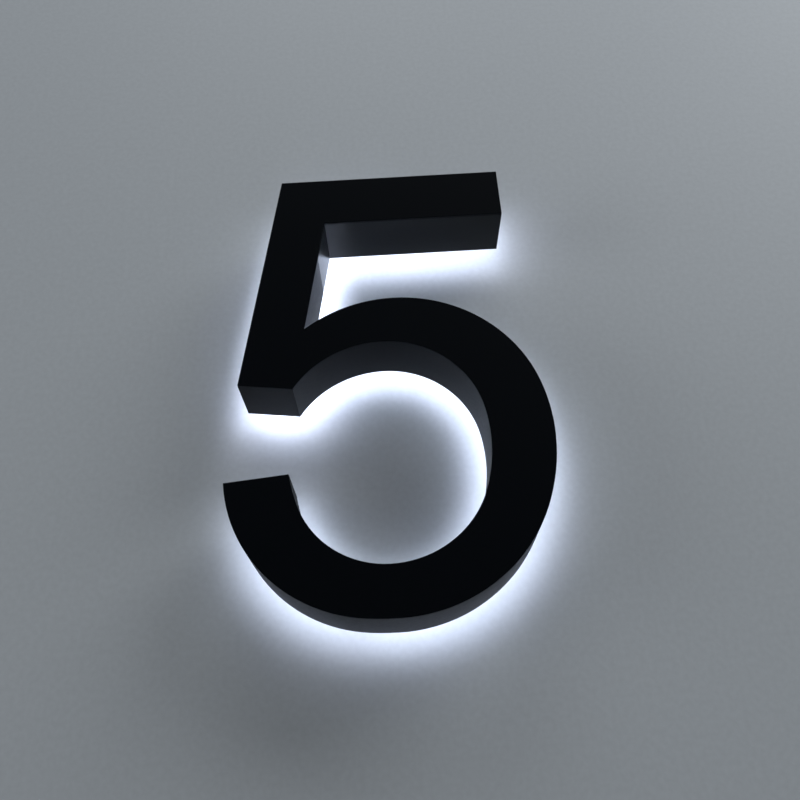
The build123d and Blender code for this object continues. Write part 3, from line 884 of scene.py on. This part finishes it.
class HOUSENUMBER_OT_standoffs(bpy.types.Operator):
    """Finish the pillars, washers and nuts as turned steel"""
    bl_idname = "house_number.standoffs"
    bl_label = "Stand-offs"

    def execute(self, context):
        threads = context.scene.number_screws
        steel = turned_steel()
        for name in named("standoff_pillar_"):
            mesh = merged_mesh(name)
            round_edges(mesh, PILLAR_ROUND)
            self.cut_thread(mesh, middle_of(name), threads)
            add_piece(mesh, name.replace("standoff", "turned"), [steel], name, "stainless_steel")
        soften("standoff_washers", "flat_washers", steel, "stainless_steel", SMALL_ROUND)
        soften("standoff_nuts", "chamfered_nuts", steel, "stainless_steel", NUT_ROUND)
        return {"FINISHED"}

    def cut_thread(self, mesh, middle, threads):
        """Ring the pillar's stud, and the tapped hole in its foot, with crests and roots."""
        stud_radius = threads.thread_size / 2
        hole_radius = threads.tapped_size / 2
        for wall_radius, root_radius in (
            (stud_radius, stud_radius - threads.thread_depth),
            (hole_radius, hole_radius + threads.thread_depth),
        ):
            sides = [edge for edge in mesh.edges if self.is_side(edge, middle, wall_radius)]
            if not sides:
                raise RuntimeError(f"no round wall of radius {wall_radius / MM:.2f} mm")
            cuts = 2 * round(sides[0].calc_length() / threads.thread_pitch) - 1
            rings = bmesh.ops.subdivide_edges(mesh, edges=sides, cuts=cuts, use_grid_fill=True)
            new = [item for item in rings["geom_inner"] if isinstance(item, bmesh.types.BMVert)]
            levels = sorted({round(vert.co.z / RING) for vert in new})
            for vert in new:
                if levels.index(round(vert.co.z / RING)) % 2:
                    continue
                arm = Vector((vert.co.x - middle.x, vert.co.y - middle.y, 0))
                vert.co += arm.normalized() * (root_radius - arm.length)

    def is_side(self, edge, middle, radius):
        """Upright, long, and at this distance from the pillar's middle line."""
        start, end = (vert.co - middle for vert in edge.verts)
        upright = (end - start).xy.length < RING and abs(end.z - start.z) > LEAST_THREAD
        return upright and abs(start.xy.length - radius) < OFF_WALL


class HOUSENUMBER_OT_modules(bpy.types.Operator):
    """Finish and light the LED modules"""
    bl_idname = "house_number.modules"
    bl_label = "LED modules"

    def execute(self, context):
        light = context.scene.number_light
        abs_plastic = moulded_abs()
        clear = clear_acrylic(light.light_colour, light.module_strength)
        phosphor = led_phosphor(light.light_colour, light.module_strength)
        for name in named("led_module_"):
            housing = name.replace("led_module", "housing")
            soften(name, housing, abs_plastic, "housing_plastic", HOUSING_ROUND)
        for name in named("module_window_"):
            window = name.replace("module", "clear")
            soften(name, window, clear, "clear_plastic", WINDOW_ROUND)
        soften("module_boards", "white_boards", solder_mask(), "board_white", BOARD_ROUND)
        soften("led_packages", "lit_packages", phosphor, "led_phosphor", BOARD_ROUND)
        soften("tape_pads", "foam_pads", foam_tape(), "tape_foam", SMALL_ROUND)
        return {"FINISHED"}


class HOUSENUMBER_OT_wiring(bpy.types.Operator):
    """Finish the leads, the terminal block and the grommet"""
    bl_idname = "house_number.wiring"
    bl_label = "Wiring"

    def execute(self, context):
        sheath = pvc_sheath()
        steel = bpy.data.materials["turned_steel"]
        soften("jumper_leads", "jumper_wires", sheath, "lead_sheath", LEAD_ROUND)
        soften("feed_lead", "feed_wires", sheath, "lead_sheath", LEAD_ROUND)
        soften("terminal_block", "nylon_block", natural_nylon(), "block_nylon", BLOCK_ROUND)
        soften("terminal_clamps", "brass_clamps", bright_brass(), "clamp_brass", SMALL_ROUND)
        soften("clamp_screws", "round_clamp_screws", steel, "stainless_steel", SMALL_ROUND)
        soften("block_screw", "countersunk_screw", steel, "stainless_steel", SMALL_ROUND)
        rubber = moulded_rubber()
        soften("cable_grommet", "rubber_grommet", rubber, "black_rubber", GROMMET_ROUND)
        return {"FINISHED"}


class HOUSENUMBER_OT_stage(bpy.types.Operator):
    """Lay the floor, hang the lights and place the camera"""
    bl_idname = "house_number.stage"
    bl_label = "Stage"

    def execute(self, context):
        stage = context.scene.number_stage
        self.lay_floor(stage)
        self.light_room(context.scene, stage)
        self.place_camera(context.scene, stage)
        return {"FINISHED"}

    def lay_floor(self, stage):
        """A wide round board at the wall plane."""
        mesh = bmesh.new()
        bmesh.ops.create_circle(
            mesh, cap_ends=True, segments=FLOOR_SIDES, radius=stage.floor_size
        )
        data = bpy.data.meshes.new("floor")
        mesh.to_mesh(data)
        mesh.free()
        data.materials.append(painted_board(stage.floor_colour))
        floor = bpy.data.objects.new("floor", data)
        bpy.context.scene.collection.objects.link(floor)
        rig.stage(floor)

    def light_room(self, scene, stage):
        """Even light all round, and three soft lamps beside and beyond the number."""
        world = bpy.data.worlds.new("room")
        world.use_nodes = True
        background = world.node_tree.nodes["Background"]
        background.inputs["Color"].default_value = (*linear(ROOM_COLOUR), 1)
        background.inputs["Strength"].default_value = stage.room_strength
        scene.world = world
        self.hang_lamp(scene, "right_lamp", RIGHT_LAMP, stage.right_light_power)
        self.hang_lamp(scene, "left_lamp", LEFT_LAMP, stage.left_light_power)
        self.hang_lamp(scene, "top_lamp", TOP_LAMP, stage.top_light_power)

    def hang_lamp(self, scene, name, place, power):
        """A round soft lamp that faces the number."""
        data = bpy.data.lights.new(name, "AREA")
        data.shape = "DISK"
        data.size = LAMP_SIZE
        data.energy = power
        data.color = linear(LAMP_COLOUR)
        lamp = bpy.data.objects.new(name, data)
        lamp.location = place
        lamp.rotation_euler = (-lamp.location).to_track_quat("-Z", "Y").to_euler()
        scene.collection.objects.link(lamp)

    def place_camera(self, scene, stage):
        """The photograph's own point of view."""
        data = bpy.data.cameras.new("camera")
        data.sensor_width = SENSOR_WIDTH
        data.lens = stage.camera_lens
        data.clip_start = 10 * MM
        camera = bpy.data.objects.new("camera", data)
        sight = Vector(stage.camera_at) - Vector(stage.camera_from)
        level = sight.to_track_quat("-Z", "Y")
        camera.location = stage.camera_from
        camera.rotation_mode = "QUATERNION"
        camera.rotation_quaternion = level @ Quaternion((0, 0, 1), stage.camera_roll)
        scene.collection.objects.link(camera)
        scene.camera = camera
        scene.view_settings.view_transform = "Standard"


class HOUSENUMBER_PT_panel(bpy.types.Panel):
    """Settings and steps of the house number"""
    bl_label = "House number"
    bl_idname = "HOUSENUMBER_PT_panel"
    bl_space_type = "VIEW_3D"
    bl_region_type = "UI"
    bl_category = "House number"

    def draw(self, context):
        for settings in SETTINGS:
            group = getattr(context.scene, settings)
            box = self.layout.box()
            for name in group.__annotations__:
                box.prop(group, name)
        for step in STEPS:
            self.layout.operator(step.bl_idname)


STEPS = (
    HOUSENUMBER_OT_face,
    HOUSENUMBER_OT_returns,
    HOUSENUMBER_OT_panel,
    HOUSENUMBER_OT_side_screws,
    HOUSENUMBER_OT_standoffs,
    HOUSENUMBER_OT_modules,
    HOUSENUMBER_OT_wiring,
    HOUSENUMBER_OT_stage,
)
SETTINGS = {
    "number_shell": ShellSettings,
    "number_light": LightSettings,
    "number_screws": ScrewSettings,
    "number_stage": StageSettings,
}


def register():
    for kind in (*SETTINGS.values(), *STEPS, HOUSENUMBER_PT_panel):
        bpy.utils.register_class(kind)
    for name, kind in SETTINGS.items():
        setattr(bpy.types.Scene, name, bpy.props.PointerProperty(type=kind))


def unregister():
    for name in SETTINGS:
        delattr(bpy.types.Scene, name)
    for kind in (HOUSENUMBER_PT_panel, *reversed(STEPS), *SETTINGS.values()):
        bpy.utils.unregister_class(kind)


def main():
    register()
    bpy.ops.house_number.face()
    bpy.ops.house_number.returns()
    bpy.ops.house_number.panel()
    bpy.ops.house_number.side_screws()
    bpy.ops.house_number.standoffs()
    bpy.ops.house_number.modules()
    bpy.ops.house_number.wiring()
    bpy.ops.house_number.stage()
    boxes = {"cad_box": cad_box, "visual_box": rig.bounds()}
    with open("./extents.json", "w") as sizes:
        json.dump({name: [list(corner) for corner in box] for name, box in boxes.items()}, sizes)


if __name__ == "__main__":
    main()
